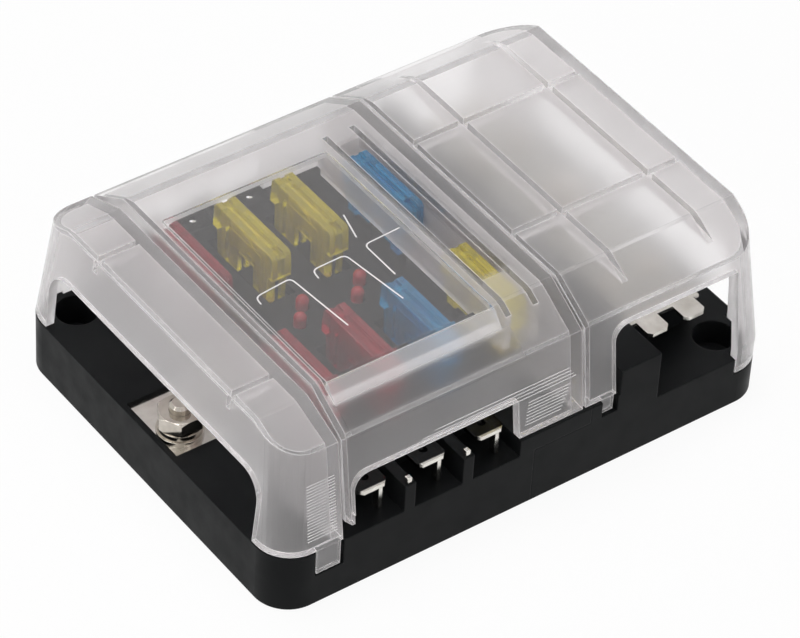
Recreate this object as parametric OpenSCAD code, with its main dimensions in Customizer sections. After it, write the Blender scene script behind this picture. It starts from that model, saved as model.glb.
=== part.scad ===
// Fuse box of two moulded modules under three translucent covers that snap off.
// Origin at the centre of the bottom face, X along the length with the supply stud
// at the low end, Y across the two rows of terminals, Z up.

/* [Base] */
// Length of the two bases together
base_len = 110; // [106:0.5:126]
// Width of the bases
base_w = 83; // [82:0.5:96]
// Plan radius of the outer corners
corner_r = 7; // [5:0.5:9]
// Height of the open ends of the fuse base
slab_h = 12.3; // [11.5:0.1:14]
// Height of the fuse deck
deck_h = 21.5; // [21:0.1:23]
// Height of the side walls that the covers stand on
sill_h = 16; // [15:0.1:17]
// Height of the bay floor in the bus base
bay_floor_h = 11; // [9:0.1:12]
// Thickness of the plate that closes the fuse base from below
floor_t = 1.6; // [1.2:0.1:2.2]

/* [Covers] */
// Wall of the covers
cover_t = 1.8; // [1.4:0.1:2.2]
// Height of the top of the fuse and bus covers
cover_h = 39.3; // [39:0.1:44]
// How much lower the stud cover is
stud_cover_drop = 2; // [1:0.1:3]
// How far the clear window stands above the fuse cover
window_rise = 0.7; // [0.4:0.1:1.2]
// Height at which the side walls turn into the slope
ridge_h = 33.6; // [33:0.1:36]
// How far the side walls lean in up to the ridge
lean = 2.8; // [2:0.1:4]
// How far the flat top lies inside the side of the base
top_inset = 12.3; // [11:0.1:14]
// How far the end walls lean in up to the top
end_lean = 2.3; // [1.5:0.1:3.5]
// Gap between neighbouring covers
cover_gap = 0.6; // [0.4:0.1:1]
// Gap between a cover and the base
seat_gap = 0.3; // [0.2:0.05:0.5]
// Thickness of the ribs under the covers
rib_t = 1.2; // [0.8:0.1:1.6]
// Depth of the ribs under the covers
rib_d = 2.4; // [1.6:0.1:3]

/* [Fuses] */
// Distance between fuse columns
col_pitch = 12.7; // [12.2:0.1:13.2]
// Distance between the two rows of fuses
row_pitch = 34.4; // [33.8:0.1:36]
// Length of a fuse body
fuse_len = 19.1; // [18.8:0.1:19.4]
// Thickness of a fuse body
fuse_t = 4.2; // [3.8:0.1:5]
// Height of a fuse body
fuse_h = 12; // [11.5:0.1:12.2]
// Width of a fuse blade
blade_w = 5.2; // [5:0.1:5.4]
// Thickness of a fuse blade
blade_t = 0.7; // [0.6:0.05:0.8]
// Distance between the two blades of a fuse
blade_pitch = 11; // [10.8:0.1:11.4]
// Length of a blade below the body
blade_len = 6.4; // [6:0.1:7]

/* [Terminals] */
// Width of an output tab
tab_w = 6.3; // [5.8:0.1:6.6]
// Thickness of an output tab
tab_t = 0.8; // [0.6:0.05:1]
// Height of the underside of the output tabs
tab_z = 18.4; // [18:0.1:18.6]
// How far the output tabs stay behind the side of the base
tab_back = 2.1; // [1.6:0.1:3]
// Width of a terminal bay
bay_w = 10.4; // [9.8:0.1:10.8]
// Thickness of the clip springs
clip_t = 0.5; // [0.4:0.05:0.6]

/* [Stud and bus] */
// Radius of the studs
stud_r = 2; // [1.8:0.05:2.1]
// Width of the nuts across flats
nut_af = 7.8; // [6.8:0.1:8]
// Height of a nut
nut_h = 3.2; // [2.8:0.1:3.6]
// Radius of the flat washers
washer_r = 4.4; // [4.2:0.1:4.4]
// Thickness of the flat washers
washer_t = 1; // [0.8:0.1:1.2]
// Thickness of the spring washers
spring_t = 1.2; // [1:0.1:1.4]
// Width of the supply plate
plate_w = 16; // [14:0.5:18]
// Thickness of the supply plate and of the ground bus
bus_t = 0.8; // [0.6:0.05:1]
// Height of the underside of the ground bus
bus_z = 19.1; // [18.6:0.1:19.6]
// Width of a ground tab
ground_tab_w = 4.8; // [4.4:0.1:5.4]

/* [Mounting] */
// Radius of the mounting holes
mount_r = 2.15; // [2:0.05:2.3]
// Radius of the counterbores
mount_head_r = 4.1; // [3.8:0.1:4.3]
// Thickness of base left under the screw heads
mount_seat = 5.5; // [4.5:0.1:6]
// Distance of the mounting holes from the ends of the base
mount_inset = 7.4; // [7.2:0.1:8]

/* [Hidden] */
$fn = 48;
// How far cuts reach past a face, the clearance of close fits and a hair of overlap
cut = 1;
fit = 0.05;
hair = 0.01;
end_x = base_len / 2;
side_y = base_w / 2;
// Joints between the covers, and the step of the lap between the bases
stud_joint_x = 13.9 - end_x;
cols = [for (i = [-1:1]) stud_joint_x + 20.3 + i * col_pitch];
bus_joint_x = cols[2] + 19.7;
lap_x0 = cols[2] + 8.5;
lap_x1 = lap_x0 + 12.7;
// Rows, deck and wells of the fuses
row_y = row_pitch / 2;
deck_x0 = stud_joint_x + cover_gap / 2 + cover_t + seat_gap;
deck_x1 = cols[2] + bay_w / 2 + 2;
deck_y = row_y + fuse_len / 2 + 4.3;
divider_h = deck_h - 3.3;
body_z = deck_h - 2.2;
well_len = fuse_len + 1;
well_w = fuse_t + 1.4;
// Clips and spade tabs
clip_z = floor_t + 5.4;
clip_h = body_z - 1 - clip_z;
clip_w = blade_w - 0.4;
tab_tip_y = side_y - tab_back;
slot_gap = 0.3;
// Supply plate, its rail and its stud
supply = [5.7 - end_x, -2.3];
plate_z = slab_h - 1.6;
plate_x0 = 1.4 - end_x;
plate_x1 = deck_x0 + 1.2;
rail_z = floor_t + 1.2;
rail_t = 1;
head_seat = 3;
head_h = 2.8;
stud_over = 1.7;
stack_z = plate_z + bus_t;
// Ground bus, the block that it lies on and the walls beside it
ground_x = end_x - 17.5;
ground_stack_z = bus_z + bus_t;
bus_w = 16;
bus_y = side_y - 10.5;
ground_tab_y = side_y - 6.4;
ground_tab_dx = 4.2;
block_y = bus_y - 3;
wall_x1 = ground_x - 9.1;
wall_h = deck_h + 0.2;
screw_x = 5;
screw_y = bus_y - 11;
// Screws that join the two bases
lap_screw = [lap_x0 + 6, side_y - 11.5];
lap_screw_r = 1.2;
lap_head_z = 3;
// Indicator lamps and their board
lamp_dx = 1.5;
lamp_dy = 1.8;
lamp_shift = 1.4;
lamp_r = 1.3;
lamp_rise = 1.5;
lamp_board_z = deck_h - 9.5;
lamp_board_y = 4.4;
lamp_board_t = 1.6;
// Openings in the covers
arch_h = slab_h + 13.7;
arch_y = side_y - 10.5;
arch_r = 5;
stud_arch_y = side_y - 8.4;
port_x0 = cols[0] - bay_w / 2;
port_x1 = cols[2] + bay_w / 2;
port_h = deck_h + 2.9;
ground_port_x0 = bus_joint_x + 7.2;
ground_port_x1 = end_x - 8;
ground_port_h = deck_h + 8.9;
// Legs and snap tabs of the covers
post_h = slab_h + 2.3;
post_tip = 1.5;
leg_h = slab_h - 4.6;
leg_depth = 2.2;
snap_h = slab_h - 5.3;
snap_x0 = stud_joint_x - 5.8;
snap_x1 = stud_joint_x - 0.7;
snap_t = 1.5;
snap_pocket = 2.2;
bus_snap_x0 = bus_joint_x + 4.2;
bus_snap_x1 = bus_joint_x + 6.8;
bus_snap_h = sill_h - 3.2;
bus_snap_y = side_y - lean * (sill_h + seat_gap + 1 - slab_h) / (ridge_h - slab_h);
// Window of the fuse cover and the channel of the spare fuses
window_x0 = stud_joint_x + 2.5;
window_x1 = cols[2] + 5.3;
window_y0 = 10.7 - side_y;
window_y1 = side_y - 21.5;
lip_w = 2.6;
lip_drop = 3;
spare_x = cols[2] + 11.5;
spare_z = cover_h - cover_t - fuse_h - 0.9;
spare_y = [21.1 - side_y, side_y - 31.2];
channel_gap = 0.3;
channel_h = 9;
channel_y = [10.5 - side_y, side_y - 16.5];
// Ribs under the end covers
stud_rib_y = side_y - 20.5;
bus_rib_x = [ground_x - 13, ground_x + 6.7];
bus_rib_y = side_y - 26.5;

module box(x0, x1, y0, y1, z0, z1) {
    translate([x0, y0, z0]) cube([x1 - x0, y1 - y0, z1 - z0]);
}

// The same shape on the front and on the rear side
module both_sides() {
    children();
    mirror([0, 1, 0]) children();
}

// Plan of a base that is rounded at one end, from x0 to x1
module base_plan(x0, x1, grow = 0) {
    r = corner_r + grow;
    intersection() {
        union() {
            square([2 * (end_x - corner_r), 2 * (side_y + grow)], center = true);
            square([2 * (end_x + grow), 2 * (side_y - corner_r)], center = true);
            for (sx = [-1, 1], sy = [-1, 1])
                translate([sx * (end_x - corner_r), sy * (side_y - corner_r)]) circle(r = r);
        }
        translate([x0, -base_w]) square([x1 - x0, 2 * base_w]);
    }
}

module base_block(x0, x1, z0, z1, grow = 0) {
    translate([0, 0, z0]) linear_extrude(z1 - z0) base_plan(x0, x1, grow);
}

module mount_hole(x, y, top) {
    translate([x, y, -cut]) cylinder(r = mount_r, h = mount_seat + 2 * cut);
    translate([x, y, mount_seat]) cylinder(r = mount_head_r, h = top - mount_seat + cut);
}

// Black moulding that carries the fuses and their terminals
module fuse_base() {
    color("#1a1c1d") difference() {
        union() {
            base_block(-base_len, lap_x0, 0, slab_h);
            box(lap_x0 - hair, lap_x1, -side_y, side_y, slab_h, sill_h);
            box(port_x1, lap_x0, -side_y, side_y, slab_h - hair, sill_h);
            box(deck_x0, deck_x1, -deck_y, deck_y, slab_h - hair, deck_h);
            both_sides() for (x = [cols[0], cols[1]])
                box(x + bay_w / 2, x + col_pitch - bay_w / 2, deck_y - hair, side_y, slab_h - hair, divider_h);
        }
        for (s = [-1, 1]) mount_hole(-end_x + mount_inset, s * (side_y - mount_inset), slab_h);
        both_sides() for (x = cols) {
            fuse_well(x);
            terminal_cavity(x);
        }
        // Cavity of the supply busbar, open below
        box(plate_x1 - bus_t - 0.2, cols[2] + 4.6, -row_y + 1.6, row_y - 1.6, -cut, rail_z + rail_t + 1);
        box(plate_x1 - bus_t - 0.2, plate_x1 + 0.2, -plate_w / 2 - fit, plate_w / 2 + fit, 0, slab_h);
        box(plate_x0 - 0.2, plate_x1 + 0.2, -plate_w / 2 - fit, plate_w / 2 + fit, plate_z, slab_h + cut);
        // Recess of the floor plate
        box(deck_x0 + 1.2, lap_x0 - 1.2, -deck_y, deck_y, -cut, floor_t + fit);
        // Seat of the stud head, its shank and the lamps
        translate([supply[0], supply[1], -cut])
            cylinder(r = (nut_af + 0.3) / sqrt(3), h = plate_z - head_seat + cut, $fn = 6);
        translate([supply[0], supply[1], 0]) cylinder(r = stud_r + fit, h = slab_h + cut);
        for (x = cols, s = [-1, 1]) lamp_hole(x, s);
        box(plate_x1 + 0.1, cols[2] + 5, -lamp_board_y - 0.2, lamp_board_y + 0.2, -cut, lamp_board_z + 1.8);
        // Recesses of the cover's snap tabs
        both_sides() box(snap_x0 - seat_gap, stud_joint_x, side_y - snap_pocket, side_y + cut, snap_h - seat_gap, slab_h + cut);
        for (s = [-1, 1]) translate([lap_screw[0], s * lap_screw[1], slab_h - cut])
            cylinder(r = lap_screw_r + fit, h = 3.2 + cut);
    }
}

// Well that a fuse body stands in, with its two blade slots
module fuse_well(x) {
    box(x - well_w / 2, x + well_w / 2, row_y - well_len / 2, row_y + well_len / 2, body_z, deck_h + cut);
    for (s = [-1, 1]) box(x - 1.6, x + 1.6, row_y + s * blade_pitch / 2 - 3, row_y + s * blade_pitch / 2 + 3,
        s < 0 ? 0 : clip_z - 1.4, body_z + cut);
}

// Hollow of one output terminal, open below, and the slot that its tab comes out of
module terminal_cavity(x) {
    y0 = row_y + blade_pitch / 2 - 3;
    box(x - tab_w / 2 - slot_gap, x + tab_w / 2 + slot_gap, y0, deck_y - 1.2, -cut, clip_z + 1.4);
    box(x - tab_w / 2 - slot_gap, x + tab_w / 2 + slot_gap, deck_y - 2.8, deck_y - 1.2, 0, tab_z + tab_t + 0.2);
    box(x - tab_w / 2 - slot_gap, x + tab_w / 2 + slot_gap, deck_y - 2.8, deck_y + cut, tab_z - 0.2, tab_z + tab_t + 0.2);
}

function lamp_at(x, s) = [x + s * lamp_dx, lamp_shift + s * lamp_dy];

module lamp_hole(x, s) {
    translate([lamp_at(x, s)[0], lamp_at(x, s)[1], lamp_board_z]) cylinder(r = lamp_r + fit, h = deck_h);
}

// Black moulding of the bus module: a tongue runs under the fuse base
module bus_base() {
    color("#1a1c1d") difference() {
        union() {
            base_block(lap_x0, base_len, 0, bay_floor_h);
            box(lap_x0, lap_x1, -side_y, side_y, bay_floor_h - hair, slab_h);
            box(lap_x1, ground_port_x0 + seat_gap, -side_y, side_y, bay_floor_h - hair, sill_h);
            box(ground_port_x0 + seat_gap, wall_x1, -side_y, side_y, bay_floor_h - hair, wall_h);
            box(wall_x1 - hair, ground_x + bus_w / 2 + 1, -block_y, block_y, bay_floor_h - hair, bus_z);
        }
        for (s = [-1, 1]) mount_hole(end_x - mount_inset, s * (side_y - mount_inset), bay_floor_h);
        // Step at the corners that the legs of the cover fill
        difference() {
            base_block(ground_port_x1 - seat_gap, base_len, leg_h - seat_gap, bay_floor_h + cut, 1);
            base_block(0, base_len, 0, deck_h, -leg_depth);
            box(0, base_len, -arch_y + seat_gap, arch_y - seat_gap, 0, deck_h);
        }
        // Recesses of the cover's snap tabs
        both_sides() box(bus_snap_x0 - seat_gap, ground_port_x0 + seat_gap, side_y - snap_pocket, side_y + cut,
            bus_snap_h - seat_gap, sill_h + cut);
        // Inside of the walls that the cover reaches past
        both_sides() box(bus_joint_x + 2, ground_port_x0 + 2 * seat_gap,
            side_y - snap_pocket - 3, side_y + cut, sill_h, deck_h + cut);
        // Seat of the ground stud's head, and its shank
        translate([ground_x, 0, -cut])
            cylinder(r = (nut_af + 0.3) / sqrt(3), h = bus_z - head_seat + cut, $fn = 6);
        translate([ground_x, 0, 0]) cylinder(r = stud_r + fit, h = bus_z + cut);
        for (sx = [-1, 1], sy = [-1, 1]) translate([ground_x + sx * screw_x, sy * screw_y, bus_z - 7])
            cylinder(r = lap_screw_r + fit, h = 8);
        for (s = [-1, 1]) translate([lap_screw[0], s * lap_screw[1], -cut]) {
            cylinder(r = lap_screw_r + fit, h = slab_h + 2 * cut);
            cylinder(r = 2.6, h = lap_head_z + cut);
        }
        // Core that lightens the moulding from below
        both_sides() box(lap_x1 + 2, wall_x1 - 2, 3, side_y - 4, -cut, bay_floor_h - 2.4);
        both_sides() box(wall_x1, ground_x - 6, 3, side_y - 6, -cut, bay_floor_h - 2.4);
    }
}

// Plate that closes the fuse base from below
module floor_plate() {
    color("#202223") box(deck_x0 + 1.3, lap_x0 - 1.3, -deck_y + 0.1, deck_y - 0.1, 0, floor_t);
}

// Two springs and a foot that hold one fuse blade, from z0 up
module clip(x, y, z0, z1) {
    for (s = [-1, 1]) box(x + s * (blade_t / 2 + fit + clip_t / 2) - clip_t / 2,
        x + s * (blade_t / 2 + fit + clip_t / 2) + clip_t / 2, y - clip_w / 2, y + clip_w / 2, z0, z1);
    box(x - blade_t / 2 - fit - clip_t, x + blade_t / 2 + fit + clip_t,
        y - clip_w / 2, y + clip_w / 2, z0, z0 + clip_t);
}

// Supply plate, its step down and the rail with one clip a fuse
module supply_busbar() {
    rail_y = row_y - blade_pitch / 2 + clip_w / 2;
    color("#c9c6bf") difference() {
        union() {
            box(plate_x0, plate_x1, -plate_w / 2, plate_w / 2, plate_z, plate_z + bus_t);
            box(plate_x1 - bus_t, plate_x1, -plate_w / 2, plate_w / 2, rail_z, plate_z + bus_t);
            box(plate_x1 - bus_t, cols[2] + 4, -plate_w / 2, plate_w / 2, rail_z, rail_z + rail_t);
            for (x = cols) box(x - 2, x + 2, -rail_y, rail_y, rail_z, rail_z + rail_t);
            both_sides() for (x = cols) {
                clip(x, row_y - blade_pitch / 2, clip_z, clip_z + clip_h);
                box(x - 1.4, x + 1.4, rail_y - clip_t, rail_y, rail_z, clip_z + clip_t);
            }
        }
        translate([supply[0], supply[1], plate_z - cut]) cylinder(r = stud_r + fit, h = bus_t + 2 * cut);
    }
}

// Screw of a stud with its head below, its end chamfered
module stud(x, y, seat_z, top_z) {
    color("#b9b6ae") translate([x, y, 0]) {
        translate([0, 0, seat_z - head_seat - head_h]) cylinder(r = nut_af / sqrt(3), h = head_h, $fn = 6);
        translate([0, 0, seat_z - head_seat - hair]) cylinder(r = stud_r, h = top_z - seat_z + head_seat - 0.5 + hair);
        translate([0, 0, top_z - 0.5]) cylinder(r1 = stud_r, r2 = stud_r - 0.5, h = 0.5);
    }
}

module washer(x, y, z, r, t) {
    color("#c4c1b9") translate([x, y, z]) difference() {
        cylinder(r = r, h = t);
        translate([0, 0, -cut]) cylinder(r = stud_r + 0.15, h = t + 2 * cut);
    }
}

// Spring washer: a ring split by a slanted cut
module spring_washer(x, y, z) {
    color("#bdb9b0") translate([x, y, z]) difference() {
        cylinder(r = washer_r - 0.3, h = spring_t);
        translate([0, 0, -cut]) cylinder(r = stud_r + 0.15, h = spring_t + 2 * cut);
        rotate([30, 0, 0]) translate([0, -0.3, -2 * spring_t]) cube([washer_r + cut, 0.6, 5 * spring_t]);
    }
}

// Hexagon nut with both ends chamfered
module nut(x, y, z) {
    color("#cfccc5") translate([x, y, z]) difference() {
        intersection() {
            cylinder(r = nut_af / sqrt(3), h = nut_h, $fn = 6);
            rotate_extrude() polygon([
                [0, 0], [nut_af / 2, 0], [nut_af / sqrt(3) + 0.2, 0.5], [nut_af / sqrt(3) + 0.2, nut_h - 0.5],
                [nut_af / 2, nut_h], [0, nut_h]
            ]);
        }
        translate([0, 0, -cut]) cylinder(r = stud_r + 0.05, h = nut_h + 2 * cut);
    }
}

module supply_stud() {
    stud(supply[0], supply[1], plate_z, stack_z + washer_t + spring_t + nut_h + stud_over);
}

module supply_washer() {
    washer(supply[0], supply[1], stack_z, washer_r, washer_t);
}

module supply_spring_washer() {
    spring_washer(supply[0], supply[1], stack_z + washer_t);
}

module supply_nut() {
    nut(supply[0], supply[1], stack_z + washer_t + spring_t);
}

module ground_stud() {
    stud(ground_x, 0, bus_z, ground_stack_z + washer_t + spring_t + nut_h + stud_over);
}

module ground_washer() {
    washer(ground_x, 0, ground_stack_z, washer_r, washer_t);
}

module ground_spring_washer() {
    spring_washer(ground_x, 0, ground_stack_z + washer_t);
}

module ground_nut() {
    nut(ground_x, 0, ground_stack_z + washer_t + spring_t);
}

// Output terminal of column i: a clip, a strip that rises in the deck, and a spade tab
module terminal(i) {
    x = cols[i];
    y = row_y + blade_pitch / 2;
    riser_y = deck_y - 2;
    color("#c9c6bf") difference() {
        union() {
            clip(x, y, clip_z, clip_z + clip_h);
            box(x - tab_w / 2, x + tab_w / 2, y - clip_w / 2, riser_y + tab_t / 2,
                clip_z - tab_t + clip_t, clip_z + clip_t);
            box(x - tab_w / 2, x + tab_w / 2, riser_y - tab_t / 2, riser_y + tab_t / 2,
                clip_z - tab_t + clip_t, tab_z + tab_t);
            translate([x, 0, tab_z]) linear_extrude(tab_t) polygon([
                [-tab_w / 2, riser_y], [tab_w / 2, riser_y], [tab_w / 2, tab_tip_y - 1],
                [tab_w / 2 - 1, tab_tip_y], [1 - tab_w / 2, tab_tip_y], [-tab_w / 2, tab_tip_y - 1]
            ]);
            box(x + 1.6, x + 2.4, tab_tip_y - 2.4, tab_tip_y - 0.8, slab_h + 0.2, tab_z + hair);
        }
        translate([x, tab_tip_y - 3.2, tab_z - cut]) cylinder(r = 0.8, h = tab_t + 2 * cut);
    }
}

// Clear body of a blade fuse, its long faces stepped in above the shoulders
module fuse_body(x, y, z, tint) {
    neck = 2.6;
    color(tint, 0.6) translate([x, y, z]) difference() {
        union() {
            rotate([90, 0, 90]) translate([0, 0, -fuse_t / 2]) linear_extrude(fuse_t) polygon([
                [-fuse_len / 2, fuse_h - neck - 1.6], [-fuse_len / 2 + 0.9, fuse_h], [fuse_len / 2 - 0.9, fuse_h],
                [fuse_len / 2, fuse_h - neck - 1.6], [fuse_len / 2, fuse_h - neck - 3],
                [fuse_len / 2 - 1.4, fuse_h - neck - 3], [fuse_len / 2 - 1.4, 0], [1.4 - fuse_len / 2, 0],
                [1.4 - fuse_len / 2, fuse_h - neck - 3], [-fuse_len / 2, fuse_h - neck - 3]
            ]);
        }
        // Slot for the element, open below, and the pinched middle
        box(-blade_t / 2 - fit, blade_t / 2 + fit, -(blade_pitch + blade_w) / 2 - fit,
            (blade_pitch + blade_w) / 2 + fit, -cut, fuse_h - 1);
        for (s = [-1, 1]) box(s < 0 ? -fuse_t : fuse_t / 2 - 0.7, s < 0 ? 0.7 - fuse_t / 2 : fuse_t,
            -fuse_len / 2 + 3.2, fuse_len / 2 - 3.2, -cut, fuse_h - 3.4);
    }
}

// Metal element of a blade fuse: two blades joined by a folded link
module fuse_element(x, y, z) {
    link = [[-3.2, 3], [-1.2, 3], [-1.2, 7.4], [0, 8.2], [1.2, 7.4], [1.2, 3], [3.2, 3], [3.2, 4.2], [2.4, 4.2],
        [2.4, 8.2], [0.8, 9.8], [-0.8, 9.8], [-2.4, 8.2], [-2.4, 4.2], [-3.2, 4.2]];
    color("#c9c6bf") translate([x, y, z]) {
        for (s = [-1, 1]) difference() {
            box(-blade_t / 2, blade_t / 2, s * blade_pitch / 2 - blade_w / 2, s * blade_pitch / 2 + blade_w / 2,
                -blade_len, fuse_h - 1.2);
            for (t = [-1, 1]) translate([0, s * blade_pitch / 2 + t * blade_w / 2, -blade_len])
                rotate([t * 45, 0, 0]) cube([fuse_t, 1, 1], center = true);
        }
        rotate([90, 0, 90]) translate([0, 0, -blade_t / 4]) linear_extrude(blade_t / 2) polygon(link);
    }
}

// Red indicator lamp: a domed body on a collar
module lamp(x, s) {
    dome_z = deck_h + lamp_rise;
    color("#8e1a20", 0.8) translate([lamp_at(x, s)[0], lamp_at(x, s)[1], 0]) {
        translate([0, 0, lamp_board_z + 0.1]) cylinder(r = lamp_r, h = dome_z - lamp_board_z - 0.1);
        translate([0, 0, dome_z]) intersection() {
            sphere(r = lamp_r);
            cylinder(r = 2 * lamp_r, h = 2 * lamp_r);
        }
    }
}

// Circuit board under the deck that carries the lamps
module lamp_board() {
    color("#27503a") box(plate_x1 + 0.4, cols[2] + 4.8, -lamp_board_y, lamp_board_y,
        lamp_board_z - lamp_board_t, lamp_board_z);
}

// Ground plate with two spade tabs at each end
module ground_bus() {
    color("#d4d1ca") difference() {
        union() {
            box(ground_x - bus_w / 2, ground_x + bus_w / 2, -bus_y, bus_y, bus_z, bus_z + bus_t);
            both_sides() for (s = [-1, 1]) translate([ground_x + s * ground_tab_dx, 0, bus_z]) linear_extrude(bus_t)
                polygon([
                    [-ground_tab_w / 2, bus_y - hair], [ground_tab_w / 2, bus_y - hair],
                    [ground_tab_w / 2, ground_tab_y - 0.8], [ground_tab_w / 2 - 0.8, ground_tab_y],
                    [0.8 - ground_tab_w / 2, ground_tab_y], [-ground_tab_w / 2, ground_tab_y - 0.8]
                ]);
        }
        translate([ground_x, 0, bus_z - cut]) cylinder(r = stud_r + fit, h = bus_t + 2 * cut);
        for (sx = [-1, 1], sy = [-1, 1]) translate([ground_x + sx * screw_x, sy * screw_y, bus_z - cut])
            cylinder(r = lap_screw_r + 0.2, h = bus_t + 2 * cut);
    }
}

// Pan head screw that points down from the seat, its slot on top
module screw(x, y, seat_z, len, down = 1) {
    translate([x, y, seat_z]) mirror([0, 0, down > 0 ? 0 : 1]) difference() {
        union() {
            translate([0, 0, -len]) cylinder(r = lap_screw_r, h = len + hair);
            cylinder(r = 2.3, h = 1.2);
            translate([0, 0, 1.2 - hair]) cylinder(r1 = 2.3, r2 = 1.7, h = 0.5);
        }
        for (a = [0, 90]) rotate(a) translate([-1.5, -0.3, 0.9]) cube([3, 0.6, 2]);
    }
}

module bus_screws() {
    color("#bdb9b0") for (sx = [-1, 1], sy = [-1, 1])
        screw(ground_x + sx * screw_x, sy * screw_y, ground_stack_z, 6);
}

module lap_screws() {
    color("#8d8d8a") for (s = [-1, 1]) screw(lap_screw[0], s * lap_screw[1], lap_head_z, 11.6, -1);
}

// Section across a cover: leaning walls, slopes and the flat top, moved in by t
module cover_section(top, t) {
    k = lean / (ridge_h - slab_h);
    ridge_z = ridge_h - t / 2;
    ridge_y = side_y - t - k * (ridge_z - slab_h);
    flat_y = side_y - top_inset - 0.3 * t;
    polygon([
        [t - side_y, -cut], [t - side_y, slab_h], [-ridge_y, ridge_z], [-flat_y, top - t],
        [flat_y, top - t], [ridge_y, ridge_z], [side_y - t, slab_h], [side_y - t, -cut]
    ]);
}

module cover_prism(x0, x1, top, t) {
    translate([x0, 0, 0]) rotate([90, 0, 90]) linear_extrude(x1 - x0) cover_section(top, t);
}

// Tapered block with its far corners rounded: the body of an end cover, moved in by t
module end_block(x_joint, s, top, t) {
    k = lean / (ridge_h - slab_h);
    r = corner_r - t;
    hull() for (z = [hair, slab_h, top + cut]) {
        e = end_lean * max(0, z - slab_h) / (top - slab_h);
        w = k * max(0, z - slab_h);
        translate([0, 0, z - hair]) linear_extrude(hair) {
            for (sy = [-1, 1])
                translate([s * (end_x - corner_r - e), sy * (side_y - corner_r - w)]) circle(r = r, $fn = 32);
            translate([x_joint + s * t - (s > 0 ? 0 : 1), -(side_y - t - w)]) square([1, 2 * (side_y - t - w)]);
        }
    }
}

// Body of an end cover cut off at its joint, moved in by t
module end_solid(x_joint, s, top, t) {
    near = x_joint + s * t;
    intersection() {
        end_block(x_joint, s, top, t);
        cover_prism(min(near, s * base_len), max(near, s * base_len), top, t);
    }
}

module end_shell(x_joint, s, top) {
    difference() {
        end_solid(x_joint, s, top, 0);
        end_solid(x_joint, s, top, cover_t);
    }
}

// Opening with rounded upper corners, drawn in the plane of the wall
module arch(half_w, h, r) {
    translate([-half_w, -h]) square([2 * half_w, 2 * h - r]);
    translate([-half_w + r, -h]) square([2 * (half_w - r), 2 * h]);
    for (s = [-1, 1]) translate([s * (half_w - r), h - r]) circle(r = r);
}

module stud_cover() {
    x_joint = stud_joint_x - cover_gap / 2;
    top = cover_h - stud_cover_drop;
    color("#e4e5e8", 0.5) union() {
        difference() {
            end_shell(x_joint, -1, top);
            box(-base_len, base_len, -base_w, base_w, -cut, slab_h + seat_gap);
            translate([-base_len, 0, 0]) rotate([90, 0, 90]) linear_extrude(base_len / 2 + 8)
                arch(stud_arch_y, arch_h, arch_r);
        }
        both_sides() box(snap_x0, snap_x1, side_y - 0.1 - snap_t, side_y - 0.1, snap_h, slab_h + seat_gap + 1);
        for (s = [-1, 1]) box(end_lean + 0.8 - end_x, x_joint - cover_t / 2, s * stud_rib_y - rib_t / 2,
            s * stud_rib_y + rib_t / 2, top - cover_t - rib_d, top - cover_t / 2);
    }
}

module fuse_cover() {
    x0 = stud_joint_x + cover_gap / 2;
    x1 = bus_joint_x - cover_gap / 2;
    color("#e4e5e8", 0.5) difference() {
        union() {
            difference() {
                union() {
                    cover_prism(x0, x1, cover_h, 0);
                    window_panel();
                }
                cover_prism(x0 + cover_t, x1 - cover_t, cover_h, cover_t);
            }
            // Channel that holds the spare fuses
            for (s = [-1, 1], x = spare_x + s * (fuse_t / 2 + channel_gap + 0.6)) box(x - 0.6, x + 0.6,
                channel_y[0], channel_y[1], cover_h - cover_t - channel_h, cover_h - cover_t + hair);
        }
        box(-base_len, base_len, -base_w, base_w, -cut, post_h);
        box(port_x0, base_len, -base_w, base_w, 0, sill_h + seat_gap);
        // Slanted foot of the posts beside the stud cover
        translate([x0 - cut, base_w, post_h - cut]) rotate([90, 0, 0]) linear_extrude(2 * base_w)
            polygon([[0, 0], [cut + cut + post_tip, 0], [0, cut + cut + post_tip]]);
        // Ports over the output terminals
        both_sides() translate([0, side_y + 3, 0]) rotate([90, 0, 0]) linear_extrude(8) port(port_x0 + 0.2, port_x1, port_h);
    }
}

// Raised panel of the window, its front edge sloped down to the slope of the cover
module window_panel() {
    z = cover_h + window_rise;
    translate([window_x0, 0, 0]) rotate([90, 0, 90]) linear_extrude(window_x1 - window_x0) polygon([
        [window_y1, ridge_h], [window_y1, z], [window_y0, z], [window_y0 - lip_w, z - lip_drop],
        [window_y0 - lip_w, ridge_h]
    ]);
}

// Outline of a side port: square at one upper corner and rounded at the other
module port(x0, x1, h) {
    r = 3;
    translate([x0 + r, 0]) square([x1 - x0 - r, h]);
    translate([x0, 0]) square([x1 - x0, h - r]);
    translate([x0 + r, h - r]) circle(r = r);
}

module bus_cover() {
    x_joint = bus_joint_x + cover_gap / 2;
    color("#e4e5e8", 0.5) union() {
        difference() {
            end_shell(x_joint, 1, cover_h);
            box(x_joint - cut, ground_port_x1, -base_w, base_w, -cut, sill_h + seat_gap);
            box(x_joint, base_len, -base_w, base_w, -cut, leg_h);
            both_sides() translate([0, side_y + 3, 0]) rotate([90, 0, 0]) linear_extrude(12)
                port(ground_port_x0, ground_port_x1, ground_port_h);
            translate([end_x - 10, 0, 0]) rotate([90, 0, 90]) linear_extrude(20) arch(arch_y, arch_h, arch_r);
        }
        both_sides() box(bus_snap_x0, bus_snap_x1, bus_snap_y - 1.3, bus_snap_y, bus_snap_h, sill_h + seat_gap + 1);
        for (x = bus_rib_x) intersection() {
            cover_prism(x - rib_t / 2, x + rib_t / 2, cover_h, cover_t / 2);
            box(x - rib_t, x + rib_t, -side_y, side_y, ridge_h + 1, cover_h);
        }
        for (s = [-1, 1]) box(x_joint + cover_t / 2, end_x - end_lean - 0.8, s * bus_rib_y - rib_t / 2,
            s * bus_rib_y + rib_t / 2, cover_h - cover_t - rib_d, cover_h - cover_t / 2);
    }
}

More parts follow.
